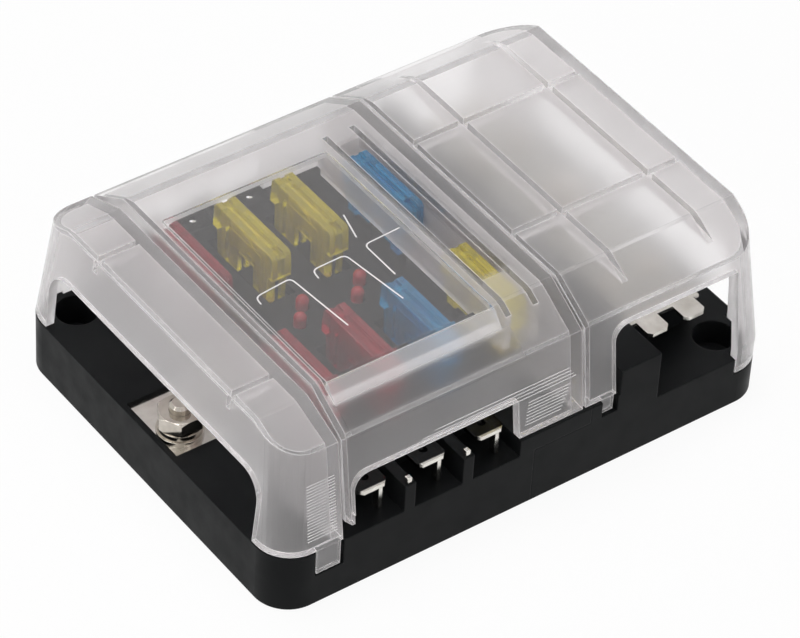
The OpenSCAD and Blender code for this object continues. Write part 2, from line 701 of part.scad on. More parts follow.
fuse_base();
bus_base();
floor_plate();
supply_busbar();
supply_stud();
supply_washer();
supply_spring_washer();
supply_nut();
mirror([0, 1, 0]) terminal(0);  // front_terminal_1
mirror([0, 1, 0]) terminal(1);  // front_terminal_2
mirror([0, 1, 0]) terminal(2);  // front_terminal_3
terminal(0);  // rear_terminal_1
terminal(1);  // rear_terminal_2
terminal(2);  // rear_terminal_3
fuse_body(cols[0], -row_y, body_z, "#c3142d");  // front_fuse_body_1
fuse_body(cols[1], -row_y, body_z, "#c3142d");  // front_fuse_body_2
fuse_body(cols[2], -row_y, body_z, "#1484b4");  // front_fuse_body_3
fuse_body(cols[0], row_y, body_z, "#c3142d");  // rear_fuse_body_1
fuse_body(cols[1], row_y, body_z, "#c9c218");  // rear_fuse_body_2
fuse_body(cols[2], row_y, body_z, "#c9c218");  // rear_fuse_body_3
fuse_element(cols[0], -row_y, body_z);  // front_fuse_element_1
fuse_element(cols[1], -row_y, body_z);  // front_fuse_element_2
fuse_element(cols[2], -row_y, body_z);  // front_fuse_element_3
fuse_element(cols[0], row_y, body_z);  // rear_fuse_element_1
fuse_element(cols[1], row_y, body_z);  // rear_fuse_element_2
fuse_element(cols[2], row_y, body_z);  // rear_fuse_element_3
lamp(cols[0], -1);  // front_lamp_1
lamp(cols[1], -1);  // front_lamp_2
lamp(cols[2], -1);  // front_lamp_3
lamp(cols[0], 1);  // rear_lamp_1
lamp(cols[1], 1);  // rear_lamp_2
lamp(cols[2], 1);  // rear_lamp_3
lamp_board();
ground_bus();
ground_stud();
ground_washer();
ground_spring_washer();
ground_nut();
bus_screws();
lap_screws();
stud_cover();
fuse_cover();
bus_cover();
fuse_body(spare_x, spare_y[0], spare_z, "#c9c218");  // spare_fuse_body_1
fuse_element(spare_x, spare_y[0], spare_z);  // spare_fuse_element_1
fuse_body(spare_x, spare_y[1], spare_z, "#1484b4");  // spare_fuse_body_2
fuse_element(spare_x, spare_y[1], spare_z);  // spare_fuse_element_2
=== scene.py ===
"""Looks of a modular fuse box: black bases, clear fuses, plated metal and translucent covers."""
import logging
import math
from dataclasses import dataclass
from enum import Enum
from typing import Iterable, Sequence

import bmesh
import bpy
from mathutils import Matrix, Vector


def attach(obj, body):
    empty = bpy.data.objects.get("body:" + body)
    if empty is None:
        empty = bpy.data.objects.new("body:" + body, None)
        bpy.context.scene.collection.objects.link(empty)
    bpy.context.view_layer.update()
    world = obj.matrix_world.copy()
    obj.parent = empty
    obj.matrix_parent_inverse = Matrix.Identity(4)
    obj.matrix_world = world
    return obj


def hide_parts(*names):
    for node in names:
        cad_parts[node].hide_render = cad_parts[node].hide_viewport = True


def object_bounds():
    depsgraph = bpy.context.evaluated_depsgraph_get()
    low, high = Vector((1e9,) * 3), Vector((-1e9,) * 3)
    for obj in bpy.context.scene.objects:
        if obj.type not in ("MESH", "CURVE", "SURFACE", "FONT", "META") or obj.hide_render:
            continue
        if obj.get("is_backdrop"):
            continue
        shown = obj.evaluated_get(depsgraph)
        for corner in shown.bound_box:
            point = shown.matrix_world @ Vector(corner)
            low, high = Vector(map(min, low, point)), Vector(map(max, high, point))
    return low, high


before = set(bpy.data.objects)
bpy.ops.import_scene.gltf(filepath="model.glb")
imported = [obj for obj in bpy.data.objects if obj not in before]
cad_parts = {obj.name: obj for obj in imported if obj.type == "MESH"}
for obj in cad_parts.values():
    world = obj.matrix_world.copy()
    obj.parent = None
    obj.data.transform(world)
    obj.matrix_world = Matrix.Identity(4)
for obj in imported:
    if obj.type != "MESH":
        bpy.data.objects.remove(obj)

log = logging.getLogger("fuse_box")
MM = 0.001
Point = tuple[float, float, float]
ARC_STEPS = 5
SHARP_EDGE = math.radians(40)
RIDGE_SECTION = ((-0.5, -0.2), (-0.36, 0.6), (-0.12, 1.0), (0.12, 1.0), (0.36, 0.6), (0.5, -0.2))
PASSED_LIGHT = 0.85
FLAT_GRAIN = 0.5


class Body(Enum):
    """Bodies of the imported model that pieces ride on."""

    BASE = "base"
    STUD_COVER = "stud_cover"
    FUSE_COVER = "fuse_cover"
    BUS_COVER = "bus_cover"


class Recipe:
    """A node material in the making: one Principled shader and what feeds it."""

    def __init__(self, name: str) -> None:
        """Starts an empty material.

        Args:
            name: Name of the material.
        """
        self.material = bpy.data.materials.new(name)
        self.material.use_nodes = True
        self.tree = self.material.node_tree
        self.tree.nodes.clear()
        self.output = self.add("ShaderNodeOutputMaterial")
        self.shader = self.add("ShaderNodeBsdfPrincipled")
        self.join(self.shader.outputs[0], self.output.inputs["Surface"])
        self.place = self.add("ShaderNodeTexCoord").outputs["Object"]

    def add(self, kind: str, **settings: object) -> bpy.types.Node:
        """Adds a node.

        Args:
            kind: Type name of the node.
            **settings: Attributes of the node.

        Returns:
            The new node.
        """
        node = self.tree.nodes.new(kind)
        for key, value in settings.items():
            setattr(node, key, value)
        return node

    def join(self, source: bpy.types.NodeSocket, target: bpy.types.NodeSocket) -> None:
        """Links two sockets."""
        self.tree.links.new(source, target)

    def set(self, **values: object) -> None:
        """Sets sockets of the shader, with _ in a name for each space.

        Args:
            **values: Socket names and what they get, a number, a colour or another socket.
        """
        for key, value in values.items():
            socket = self.shader.inputs[key.replace("_", " ")]
            if isinstance(value, bpy.types.NodeSocket):
                self.join(value, socket)
            else:
                socket.default_value = value

    def math(self, kind: str, a: object, b: object) -> bpy.types.NodeSocket:
        """Combines two numbers or sockets.

        Args:
            kind: Operation of the math node.
            a: First number or socket.
            b: Second number or socket.

        Returns:
            The socket of the result.
        """
        node = self.add("ShaderNodeMath", operation=kind)
        for socket, value in zip(node.inputs, (a, b)):
            if isinstance(value, bpy.types.NodeSocket):
                self.join(value, socket)
            else:
                socket.default_value = value
        return node.outputs[0]

    def noise(self, scale: float, detail: float = 3.0, stretch: Point = (1, 1, 1)) -> bpy.types.NodeSocket:
        """Noise over the piece.

        Args:
            scale: Cells a metre.
            detail: Octaves.
            stretch: Scale of the three axes.

        Returns:
            The socket of the noise, from 0 to 1.
        """
        mapping = self.add("ShaderNodeMapping")
        mapping.inputs["Scale"].default_value = stretch
        node = self.add("ShaderNodeTexNoise")
        node.inputs["Scale"].default_value = scale
        node.inputs["Detail"].default_value = detail
        self.join(self.place, mapping.inputs["Vector"])
        self.join(mapping.outputs[0], node.inputs["Vector"])
        return node.outputs[0]

    def spread(self, source: bpy.types.NodeSocket, low: float, high: float,
               start: float = 0.3, end: float = 0.7, smooth: bool = False) -> bpy.types.NodeSocket:
        """Maps a socket from start..end to low..high.

        Args:
            source: Socket to map.
            low: Value at start.
            high: Value at end.
            start: Lowest value read.
            end: Highest value read.
            smooth: Whether the step is eased at its ends.

        Returns:
            The socket of the mapped value.
        """
        node = self.add("ShaderNodeMapRange", interpolation_type="SMOOTHSTEP" if smooth else "LINEAR")
        self.join(source, node.inputs["Value"])
        for name, value in (("From Min", start), ("From Max", end), ("To Min", low), ("To Max", high)):
            node.inputs[name].default_value = value
        return node.outputs[0]

    def blend(self, share: bpy.types.NodeSocket, first: Sequence[float], second: Sequence[float]
              ) -> bpy.types.NodeSocket:
        """Mixes two colours.

        Args:
            share: Socket with the share of the second.
            first: Colour at 0.
            second: Colour at 1.

        Returns:
            The socket of the colour.
        """
        node = self.add("ShaderNodeMix", data_type="RGBA")
        self.join(share, node.inputs[0])
        node.inputs[6].default_value = (*first[:3], 1)
        node.inputs[7].default_value = (*second[:3], 1)
        return node.outputs[2]

    def band(self, axis: int, low: float, high: float, edge: float = 0.0003) -> bpy.types.NodeSocket:
        """A mask that is 1 between two places along one axis.

        Args:
            axis: 0, 1 or 2 for X, Y or Z.
            low: Start, in metres.
            high: End, in metres.
            edge: Width of its soft edge.

        Returns:
            The socket of the mask.
        """
        parts = self.add("ShaderNodeSeparateXYZ")
        self.join(self.place, parts.inputs[0])
        rise = self.spread(parts.outputs[axis], 0, 1, low - edge, low + edge, True)
        fall = self.spread(parts.outputs[axis], 1, 0, high - edge, high + edge, True)
        return self.math("MULTIPLY", rise, fall)

    def edges(self, radius: float, low: float = 0.015, high: float = 0.16) -> bpy.types.NodeSocket:
        """Marks the edges of a piece.

        Args:
            radius: How far from an edge the mark reaches, in metres.
            low: Turn of the normal at which the mark starts.
            high: Turn at which it is full.

        Returns:
            A socket that is 1 on edges.
        """
        edge = self.add("ShaderNodeBevel", samples=6)
        edge.inputs["Radius"].default_value = radius
        flat = self.add("ShaderNodeNewGeometry").outputs["Normal"]
        turn = self.add("ShaderNodeVectorMath", operation="DOT_PRODUCT")
        self.join(edge.outputs[0], turn.inputs[0])
        self.join(flat, turn.inputs[1])
        return self.spread(self.math("SUBTRACT", 1.0, turn.outputs["Value"]), 0, 1, low, high)

    def outward(self, middle_z: float, edge: float = 0.0004) -> bpy.types.NodeSocket:
        """Marks the faces of a shell that look away from its long middle line.

        Args:
            middle_z: Height of the middle line, in metres.
            edge: Width of the soft change from inside to outside, in metres.

        Returns:
            A socket that is 1 on the outside and 0 on the inside.
        """
        face = self.add("ShaderNodeNewGeometry")
        arm = self.add("ShaderNodeVectorMath", operation="MULTIPLY_ADD")
        self.join(self.place, arm.inputs[0])
        arm.inputs[1].default_value = (0, 1, 1)
        arm.inputs[2].default_value = (0, 0, -middle_z)
        turn = self.add("ShaderNodeVectorMath", operation="DOT_PRODUCT")
        self.join(arm.outputs[0], turn.inputs[0])
        self.join(face.outputs["Normal"], turn.inputs[1])
        side = self.spread(face.outputs["Backfacing"], 1, -1, 0, 1)
        return self.spread(self.math("MULTIPLY", turn.outputs["Value"], side), 0, 1, -edge, edge)

    def relief(self, height: bpy.types.NodeSocket, depth: float, rounding: float) -> None:
        """Gives the shader a bumped normal over softly rounded edges.

        Args:
            height: Socket with the height, from 0 to 1.
            depth: Height of 1, in metres.
            rounding: Radius of the rounded edges, in metres.
        """
        bump = self.add("ShaderNodeBump")
        bump.inputs["Strength"].default_value = 1.0
        bump.inputs["Distance"].default_value = depth
        self.join(height, bump.inputs["Height"])
        if rounding > 0:
            edge = self.add("ShaderNodeBevel", samples=4)
            edge.inputs["Radius"].default_value = rounding
            self.join(edge.outputs[0], bump.inputs["Normal"])
        self.join(bump.outputs[0], self.shader.inputs["Normal"])

    def pass_light(self, tint: Sequence[float], share: float) -> None:
        """Lets lamps shine through, as a thin clear wall does.

        Args:
            tint: Colour of the light that gets through.
            share: How much gets through.
        """
        path = self.add("ShaderNodeLightPath")
        clear = self.add("ShaderNodeBsdfTransparent")
        clear.inputs[0].default_value = (*tint[:3], 1)
        mix = self.add("ShaderNodeMixShader")
        self.join(self.math("MULTIPLY", path.outputs["Is Shadow Ray"], share), mix.inputs[0])
        self.join(self.shader.outputs[0], mix.inputs[1])
        self.join(clear.outputs[0], mix.inputs[2])
        self.join(mix.outputs[0], self.output.inputs["Surface"])


def over(recipe: Recipe, mask: bpy.types.NodeSocket, outside: object, inside: float) -> bpy.types.NodeSocket:
    """Puts a number over another where a mask is 1.

    Args:
        recipe: Material in the making.
        mask: Socket of the mask.
        outside: Socket or number where the mask is 0.
        inside: Number where the mask is 1.

    Returns:
        The socket of the result.
    """
    node = recipe.add("ShaderNodeMix", data_type="FLOAT")
    recipe.join(mask, node.inputs[0])
    if isinstance(outside, bpy.types.NodeSocket):
        recipe.join(outside, node.inputs[2])
    else:
        node.inputs[2].default_value = outside
    node.inputs[3].default_value = inside
    return node.outputs[0]


@dataclass(frozen=True)
class Moulding:
    """Satin moulded plastic with a fine spark-eroded grain, faint clouds and a painted highlight on its
    edges.

    Attributes:
        name: Name of the material.
        colour: Its main colour.
        cloud_and_highlight_colour: Colour of the faint clouds on it and of the painted highlight on its
            edges.
        gloss: Lowest and highest roughness.
        grain: Height of the grain, in metres.
        rounding: Radius of the rounded edges, in metres.
        shine: Strength of its reflections.
        clouds: Noise cells a metre of the clouds.
        patches: Noise cells a metre of the patches that break up the painted edge highlight.
        smears: Noise cells a metre of the gloss.
        grains: Noise cells a metre of the grain.
    """

    name: str
    colour: Point
    cloud_and_highlight_colour: Point
    gloss: tuple[float, float] = (0.36, 0.5)
    grain: float = 1.2e-5
    rounding: float = 0.0004
    shine: float = 0.07
    clouds: float = 60
    patches: float = 150
    smears: float = 220
    grains: float = 2600

    def make(self) -> bpy.types.Material:
        """Returns the material of this moulding."""
        recipe = Recipe(self.name)
        cloud = recipe.spread(recipe.noise(self.clouds, 4), 0, 0.7)
        edges = recipe.edges(self.rounding)
        # Painted highlight: the edges turn towards the paler colour, broken up in patches by noise.
        edge_highlight = recipe.math("MULTIPLY", edges, recipe.spread(recipe.noise(self.patches, 3), 0.2, 0.9))
        recipe.set(
            Base_Color=recipe.blend(recipe.math("MAXIMUM", cloud, edge_highlight), self.colour, self.cloud_and_highlight_colour),
            Roughness=recipe.spread(recipe.noise(self.smears, 5), *self.gloss),
            Specular_IOR_Level=self.shine,
        )
        recipe.relief(recipe.noise(self.grains, 4), self.grain, self.rounding)
        return recipe.material


@dataclass(frozen=True)
class Plating:
    """Plated metal with rolling lines and small stains, with painted shade over part of it where that is
    asked for.

    Attributes:
        name: Name of the material.
        colour: Its main colour.
        stain: Colour of the stains.
        gloss: Lowest and highest roughness.
        stretch: Scale of the rolling lines along the three axes.
        depth: Height of the rolling lines, in metres.
        rounding: Radius of the rounded edges, in metres.
        bright_from: Distance from the long middle plane at which the bright outer end of a part starts, in
            metres, or 0 for a part that is bright all over.
        painted_shade: Colour of the painted shade put nearer to the middle plane.
        stem_top: Height up to which such a part is bright at any distance, in metres.
        edge: Half width of the soft change at bright_from, in metres.
        fade: Width of the soft change below stem_top, in metres.
    """

    name: str
    colour: Point
    stain: Point
    gloss: tuple[float, float] = (0.10, 0.24)
    stretch: Point = (1, 14, 1)
    depth: float = 3e-6
    rounding: float = 0.00015
    bright_from: float = 0.0
    painted_shade: Point = (0.02, 0.02, 0.02)
    stem_top: float = 0.0183
    edge: float = 0.00015
    fade: float = 0.0002

    def make(self) -> bpy.types.Material:
        """Returns the material of this metal."""
        recipe = Recipe(self.name)
        lines = recipe.noise(500, 5, self.stretch)
        colour = recipe.blend(recipe.spread(recipe.noise(300, 5), 0, 1), self.colour, self.stain)
        if self.bright_from:
            # Painted shade: nearer the middle plane and above stem_top, the colour gives way to a darker
            # painted shade.
            parts = recipe.add("ShaderNodeSeparateXYZ")
            recipe.join(recipe.place, parts.inputs[0])
            out = recipe.math("ABSOLUTE", parts.outputs[1], 0.0)
            tip = recipe.spread(out, 0, 1, self.bright_from - self.edge, self.bright_from + self.edge, True)
            stem = recipe.spread(parts.outputs[2], 1, 0, self.stem_top - self.fade, self.stem_top, True)
            node = recipe.add("ShaderNodeMix", data_type="RGBA")
            recipe.join(recipe.math("MAXIMUM", tip, stem), node.inputs[0])
            node.inputs[6].default_value = (*self.painted_shade, 1)
            recipe.join(colour, node.inputs[7])
            colour = node.outputs[2]
        recipe.set(Base_Color=colour, Metallic=1.0, Roughness=recipe.spread(lines, *self.gloss))
        recipe.relief(lines, self.depth, self.rounding)
        return recipe.material


@dataclass(frozen=True)
class ClearPlastic:
    """Tinted clear plastic with a faintly wavy skin and edges that are less clear.

    Attributes:
        name: Name of the material.
        colour: Its main colour and that of the light it lets through.
        deep: Colour of its darker clouds.
        gloss: Lowest and highest roughness.
        clear: How clear it is, from 0 to 1.
        edge_width: Reach of the less clear edges, in metres.
        edge_share: Clearness of the edges as a share of the rest.
        waves: Height of the waves, in metres.
        ior: Index of refraction.
    """

    name: str
    colour: Point
    deep: Point
    gloss: tuple[float, float] = (0.02, 0.06)
    clear: float = 0.85
    edge_width: float = 0.0003
    edge_share: float = 0.6
    waves: float = 8e-6
    ior: float = 1.45

    def make(self) -> bpy.types.Material:
        """Returns the material of this clear plastic."""
        recipe = Recipe(self.name)
        edge = recipe.edges(self.edge_width)
        recipe.set(
            Base_Color=recipe.blend(recipe.spread(recipe.noise(240, 3), 0, 1), self.colour, self.deep),
            Roughness=recipe.spread(recipe.noise(700, 4), *self.gloss),
            Transmission_Weight=over(recipe, edge, self.clear, self.clear * self.edge_share),
            IOR=self.ior,
        )
        recipe.relief(recipe.noise(900, 3), self.waves, 0)
        recipe.pass_light(self.colour, PASSED_LIGHT)
        return recipe.material


@dataclass(frozen=True)
class Zone:
    """A box of a cover, in metres, whose plastic is smoother or clearer than the rest.

    Attributes:
        low: Its lowest corner.
        high: Its highest corner.
        rough: Roughness inside it.
        clear: How clear the plastic is inside it, from 0 to 1.
    """

    low: Point
    high: Point
    rough: float
    clear: float

    def mask(self, recipe: Recipe) -> bpy.types.NodeSocket:
        """Returns a socket that is 1 inside the zone."""
        mask = recipe.band(0, self.low[0], self.high[0])
        for axis in (1, 2):
            mask = recipe.math("MULTIPLY", mask, recipe.band(axis, self.low[axis], self.high[axis]))
        return mask


@dataclass(frozen=True)
class Frosted:
    """Clear plastic with a smooth outside, a frosted inside, pale edges and clearer zones.

    Attributes:
        name: Name of the material.
        colour: Its main colour.
        frost: Middle roughness of the inside.
        skin: Roughness of the outside.
        middle_z: Height of the shell's long middle line, in metres.
        milky: How clear it is on average, from 0 to 1.
        zones: Boxes with their own roughness and clearness.
        edge_width: Reach of the pale edges, in metres.
        edge_clear: How clear the edges are.
        swing: How far the frost and the clearness vary around their middles.
        shade: Share of the colour in its darker clouds.
        grain: Height of the frost's grain, in metres.
        tint: Colour of the light that gets through.
        ior: Index of refraction.
    """

    name: str
    colour: Point = (0.9, 0.882, 0.886)
    frost: float = 0.45
    skin: float = 0.14
    middle_z: float = 0.012
    milky: float = 0.88
    zones: tuple[Zone, ...] = ()
    edge_width: float = 0.00035
    edge_clear: float = 0.18
    swing: float = 0.03
    shade: float = 0.97
    grain: float = 7e-6
    tint: Point = (0.95, 0.94, 0.94)
    ior: float = 1.33

    def make(self) -> bpy.types.Material:
        """Returns the material of this cover."""
        recipe = Recipe(self.name)
        haze = recipe.noise(90, 4)
        rough = recipe.spread(haze, self.frost - self.swing, self.frost + self.swing)
        glass = recipe.spread(recipe.noise(35, 3), self.milky - self.swing, self.milky + self.swing)
        outside = recipe.outward(self.middle_z)
        rough = over(recipe, outside, rough, self.skin)
        grain = over(recipe, outside, recipe.noise(2200, 4), FLAT_GRAIN)
        for zone in self.zones:
            mask = zone.mask(recipe)
            rough = over(recipe, mask, rough, zone.rough)
            glass = over(recipe, mask, glass, zone.clear)
            grain = over(recipe, mask, grain, FLAT_GRAIN)
        glass = over(recipe, recipe.edges(self.edge_width), glass, self.edge_clear)
        darker = [c * self.shade for c in self.colour]
        recipe.set(
            Base_Color=recipe.blend(recipe.spread(haze, 0, 1), self.colour, darker),
            Roughness=rough,
            Transmission_Weight=glass,
            IOR=self.ior,
        )
        recipe.relief(grain, self.grain, 0)
        recipe.pass_light(self.tint, PASSED_LIGHT)
        return recipe.material


TIN = (0.83, 0.81, 0.76)
TIN_STAIN = (0.62, 0.59, 0.54)
WINDOW_TOP = Zone((-0.0386, -0.0306, 0.0355), (-0.0028, 0.0200, 0.045), 0.03, 0.95)
WINDOW_SLOPE = Zone((-0.0386, -0.0392, 0.0330), (-0.0010, -0.0333, 0.0380), 0.3, 0.93)
WINDOW_LIP = Zone((-0.0388, -0.0337, 0.0355), (-0.0026, -0.0308, 0.0405), 0.3, 0.6)
SPARE_SLOT = Zone((-0.0002, -0.0225, 0.0355), (0.0070, 0.0215, 0.045), 0.04, 0.98)


class Finish(Enum):
    """Finishes of the box, each with the record's slot that it dresses."""

    BLACK = ("black_moulding", Moulding(
        "black_moulding_finish", (0.0045, 0.005, 0.0055), (0.011, 0.0118, 0.0122)))
    COPPER = ("plated_copper", Plating("tin_plate_finish", TIN, TIN_STAIN))
    # Painted shade: the tab tops nearer the middle are painted near black, for the shade under the cover and
    # the black wall they mirror.
    TAB = ("plated_copper", Plating("tab_finish", TIN, TIN_STAIN, bright_from=0.0389))
    # Painted shade: the ground bus plate under the cover is painted darker, and only its outer tabs keep the
    # bright plating.
    BUS = ("plated_copper", Plating(
        "bus_plate_finish", TIN, TIN_STAIN, bright_from=0.0285, painted_shade=(0.36, 0.355, 0.32), stem_top=0.0))
    STEEL = ("plated_steel", Plating(
        "nickel_plate_finish", (0.64, 0.6, 0.54), (0.44, 0.4, 0.35), (0.06, 0.16)))
    BOARD = ("circuit_board", Moulding(
        "board_finish", (0.01, 0.05, 0.02), (0.02, 0.08, 0.03), (0.2, 0.35)))
    LAMP = ("lamp_red", ClearPlastic("lamp_finish", (0.42, 0.008, 0.018), (0.3, 0.006, 0.012), clear=0.4))
    FROSTED = ("frosted_cover", Frosted("frosted_finish"))
    WINDOW = ("window_cover", Frosted(
        "window_finish", zones=(WINDOW_SLOPE, WINDOW_TOP, WINDOW_LIP, SPARE_SLOT)))
    # Whiter, less clear plastic for the grip lines and for the painted highlights along the label field
    # walls.
    LINES = ("window_cover", Frosted("line_finish", milky=0.5, colour=(0.93, 0.92, 0.92)))
    RED = ("fuse_red", ClearPlastic("fuse_red_finish", (0.68, 0.004, 0.04), (0.55, 0.002, 0.03)))
    YELLOW = ("fuse_yellow", ClearPlastic("fuse_yellow_finish", (1.0, 0.9, 0.005), (0.85, 0.74, 0.002)))
    BLUE = ("fuse_blue", ClearPlastic("fuse_blue_finish", (0.002, 0.5, 0.86), (0.001, 0.38, 0.72)))

    @property
    def slot(self) -> str:
        """Name of the record's slot."""
        return self.value[0]


class Finishes:
    """Makes each finish once and hands it out."""

    def __init__(self) -> None:
        """Starts with no material made."""
        self.made: dict[Finish, bpy.types.Material] = {}

    def get(self, finish: Finish) -> bpy.types.Material:
        """Returns the material of a finish, made at its first use."""
        if finish not in self.made:
            self.made[finish] = finish.value[1].make()
        return self.made[finish]


class SubAssembly:
    """What all sub-assemblies share: dressing their nodes and adding pieces."""

    body = Body.BASE

    def __init__(self, finishes: Finishes) -> None:
        """Keeps the finishes.

        Args:
            finishes: Where the materials come from.
        """
        self.finishes = finishes

    def dress(self, nodes: Iterable[str], finish: Finish) -> None:
        """Puts a finish on CAD nodes.

        Args:
            nodes: Names of the nodes.
            finish: Finish for all of them.
        """
        for name in nodes:
            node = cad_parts[name]
            node.data.materials.clear()
            node.data.materials.append(self.finishes.get(finish))
            log.info("%s: %s", name, finish.slot)

    def add_piece(self, name: str, mesh: bmesh.types.BMesh, finish: Finish, replaced: Sequence[str] = (),
                  bevel: float = 0.0, body: Body | None = None) -> None:
        """Turns a mesh into a piece that rides on a body.

        Args:
            name: Name of the piece.
            mesh: Its mesh in millimetres, freed here.
            finish: Its finish.
            replaced: CAD nodes that it stands for.
            bevel: Radius of its rounded edges, in millimetres.
            body: Body that it rides on, this sub-assembly's where none is given.
        """
        bmesh.ops.scale(mesh, vec=(MM, MM, MM), verts=mesh.verts)
        bmesh.ops.recalc_face_normals(mesh, faces=mesh.faces)
        data = bpy.data.meshes.new(name)
        mesh.to_mesh(data)
        mesh.free()
        piece = bpy.data.objects.new(name, data)
        bpy.context.scene.collection.objects.link(piece)
        data.materials.append(self.finishes.get(finish))
        if bevel > 0:
            modifier = piece.modifiers.new("rounded", "BEVEL")
            modifier.width = bevel * MM
            modifier.segments = 3
            modifier.limit_method = "ANGLE"
            modifier.angle_limit = SHARP_EDGE
        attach(piece, (body or self.body).value)
        if replaced:
            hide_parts(*replaced)
        log.info("%s: new piece on %s", name, (body or self.body).value)


def block(mesh: bmesh.types.BMesh, low: Point, high: Point) -> None:
    """Adds a block between two corners.

    Args:
        mesh: Mesh that gets it.
        low: One corner, in millimetres.
        high: The opposite corner.
    """
    middle = [(a + b) / 2 for a, b in zip(low, high)]
    size = [abs(b - a) for a, b in zip(low, high)]
    bmesh.ops.create_cube(mesh, size=1.0, matrix=Matrix.Translation(middle) @ Matrix.Diagonal((*size, 1)))


def ridge(mesh: bmesh.types.BMesh, path: Sequence[Point], normal: Vector, width: float,
          height: float) -> None:
    """Adds a low ridge along a path on a surface.

    Args:
        mesh: Mesh that gets it.
        path: Points of its middle, on the surface, in millimetres.
        normal: Outward direction of the surface.
        width: Width of its foot.
        height: Height of its crest.
    """
    points = [Vector(p) for p in path]
    rings = []
    for i, point in enumerate(points):
        before = (point - points[i - 1]).normalized() if i else None
        after = (points[i + 1] - point).normalized() if i + 1 < len(points) else None
        along = ((before or after) + (after or before)).normalized()
        side = along.cross(normal).normalized()
        rings.append([mesh.verts.new(point + side * (s * width) + normal * (h * height))
                      for s, h in RIDGE_SECTION])
    for first, second in zip(rings, rings[1:]):
        for k in range(len(RIDGE_SECTION)):
            j = (k + 1) % len(RIDGE_SECTION)
            mesh.faces.new((first[k], first[j], second[j], second[k]))
    mesh.faces.new(rings[0])
    mesh.faces.new(list(reversed(rings[-1])))


def rounded_path(corners: Sequence[tuple[float, float]], radius: float, z: float) -> list[Point]:
    """Rounds the inner corners of a flat path.

    Args:
        corners: Corners in millimetres.
        radius: Radius of the rounding.
        z: Height of the path.

    Returns:
        Points of the rounded path.
    """
    points: list[Point] = [(*corners[0], z)]
    for before, corner, after in zip(corners, corners[1:], corners[2:]):
        here = Vector(corner)
        start = here + (Vector(before) - here).normalized() * radius
        end = here + (Vector(after) - here).normalized() * radius
        for k in range(ARC_STEPS + 1):
            t = k / ARC_STEPS
            spot = start * (1 - t) ** 2 + here * (2 * t * (1 - t)) + end * t ** 2
            points.append((spot.x, spot.y, z))
    points.append((*corners[-1], z))
    return points


@dataclass
class Mouldings:
    """The two black bases and the plate under them."""

    finishes: Finishes
    nodes: tuple[str, ...] = ("fuse_base", "bus_base", "floor_plate")

    def build(self) -> None:
        """Dresses the mouldings."""
        SubAssembly(self.finishes).dress(self.nodes, Finish.BLACK)


class Metalwork(SubAssembly):
    """Busbars, terminals, studs, nuts, screws and the small feet on the dividers."""

    columns = 3
    foot_x = (-27.15, -14.45)
    foot_half = 0.5
    foot_y = (40.1, 41.2)
    foot_z = (18.2, 19.5)
    foot_rounding = 0.15

    def build(self) -> None:
        """Dresses the metal and adds the feet."""
        rows = [f"{row}_terminal_{i + 1}" for row in ("front", "rear") for i in range(self.columns)]
        self.dress(["supply_busbar"], Finish.COPPER)
        self.dress(["ground_bus"], Finish.BUS)
        self.dress(rows, Finish.TAB)
        stack = [f"{side}_{part}" for side in ("supply", "ground")
                 for part in ("stud", "washer", "spring_washer", "nut")]
        self.dress([*stack, "bus_screws", "lap_screws"], Finish.STEEL)
        mesh = bmesh.new()
        for x in self.foot_x:
            for side in (-1, 1):
                near, far = (side * y for y in self.foot_y)
                block(mesh, (x - self.foot_half, near, self.foot_z[0]),
                      (x + self.foot_half, far, self.foot_z[1]))
        self.add_piece("divider_feet", mesh, Finish.COPPER, bevel=self.foot_rounding)


@dataclass(frozen=True)
class FuseShape:
    """Clear body of a blade fuse, in millimetres from the middle of its foot: X across, Y along.

    Attributes:
        half: Half of its thickness.
        outline: Corners of its side view, as Y and Z.
        hollows: Two corners each of the room for the element, the face recesses and the top slots.
        gap: Two corners of the notch in its lower edge.
    """

    half: float = 2.1
    outline: tuple[tuple[float, float], ...] = (
        (9.55, 7.6), (9.3, 11.3), (8.6, 12.0), (-8.6, 12.0), (-9.3, 11.3), (-9.55, 7.6),
        (-9.55, 6.4), (-8.15, 6.4), (-7.9, 0.0), (7.9, 0.0), (8.15, 6.4), (9.55, 6.4),
    )
    hollows: tuple[tuple[Point, Point], ...] = (
        ((-0.4, -7.6, -1.0), (0.4, 7.6, 10.7)),
        ((1.35, -5.4, -1.0), (3.0, 5.4, 9.6)),
        ((-3.0, -5.4, -1.0), (-1.35, 5.4, 9.6)),
        ((-0.5, -5.6, 11.4), (0.5, 5.6, 13.0)),
        ((-0.75, 6.7, 11.0), (0.75, 10.0, 13.0)),
        ((-0.75, -10.0, 11.0), (0.75, -6.7, 13.0)),
    )
    gap: tuple[Point, Point] = ((-3.0, -2.4, -1.0), (3.0, 2.4, 4.6))

    def make(self) -> bpy.types.Mesh:
        """Cuts the hollows out of the outline.

        Returns:
            The mesh of the body.
        """
        solid = bmesh.new()
        rings = [[solid.verts.new((x, y, z)) for y, z in self.outline] for x in (-self.half, self.half)]
        solid.faces.new(rings[0])
        solid.faces.new(list(reversed(rings[1])))
        for k in range(len(self.outline)):
            j = (k + 1) % len(self.outline)
            solid.faces.new((rings[0][j], rings[0][k], rings[1][k], rings[1][j]))
        hollows, gap = bmesh.new(), bmesh.new()
        for low, high in self.hollows:
            block(hollows, low, high)
        block(gap, *self.gap)
        whole, *tools = [self.wrap(mesh) for mesh in (solid, hollows, gap)]
        for tool in tools:
            cut = whole.modifiers.new("cut", "BOOLEAN")
            cut.operation = "DIFFERENCE"
            cut.object = tool
        graph = bpy.context.evaluated_depsgraph_get()
        result = bpy.data.meshes.new_from_object(whole.evaluated_get(graph))
        for item in (whole, *tools):
            bpy.data.objects.remove(item)
        return result

    @staticmethod
    def wrap(mesh: bmesh.types.BMesh) -> bpy.types.Object:
        """Returns a helper object with the mesh, which is freed."""
        bmesh.ops.recalc_face_normals(mesh, faces=mesh.faces)
        data = bpy.data.meshes.new("helper")
        mesh.to_mesh(data)
        mesh.free()
        item = bpy.data.objects.new("helper", data)
        bpy.context.scene.collection.objects.link(item)
        return item


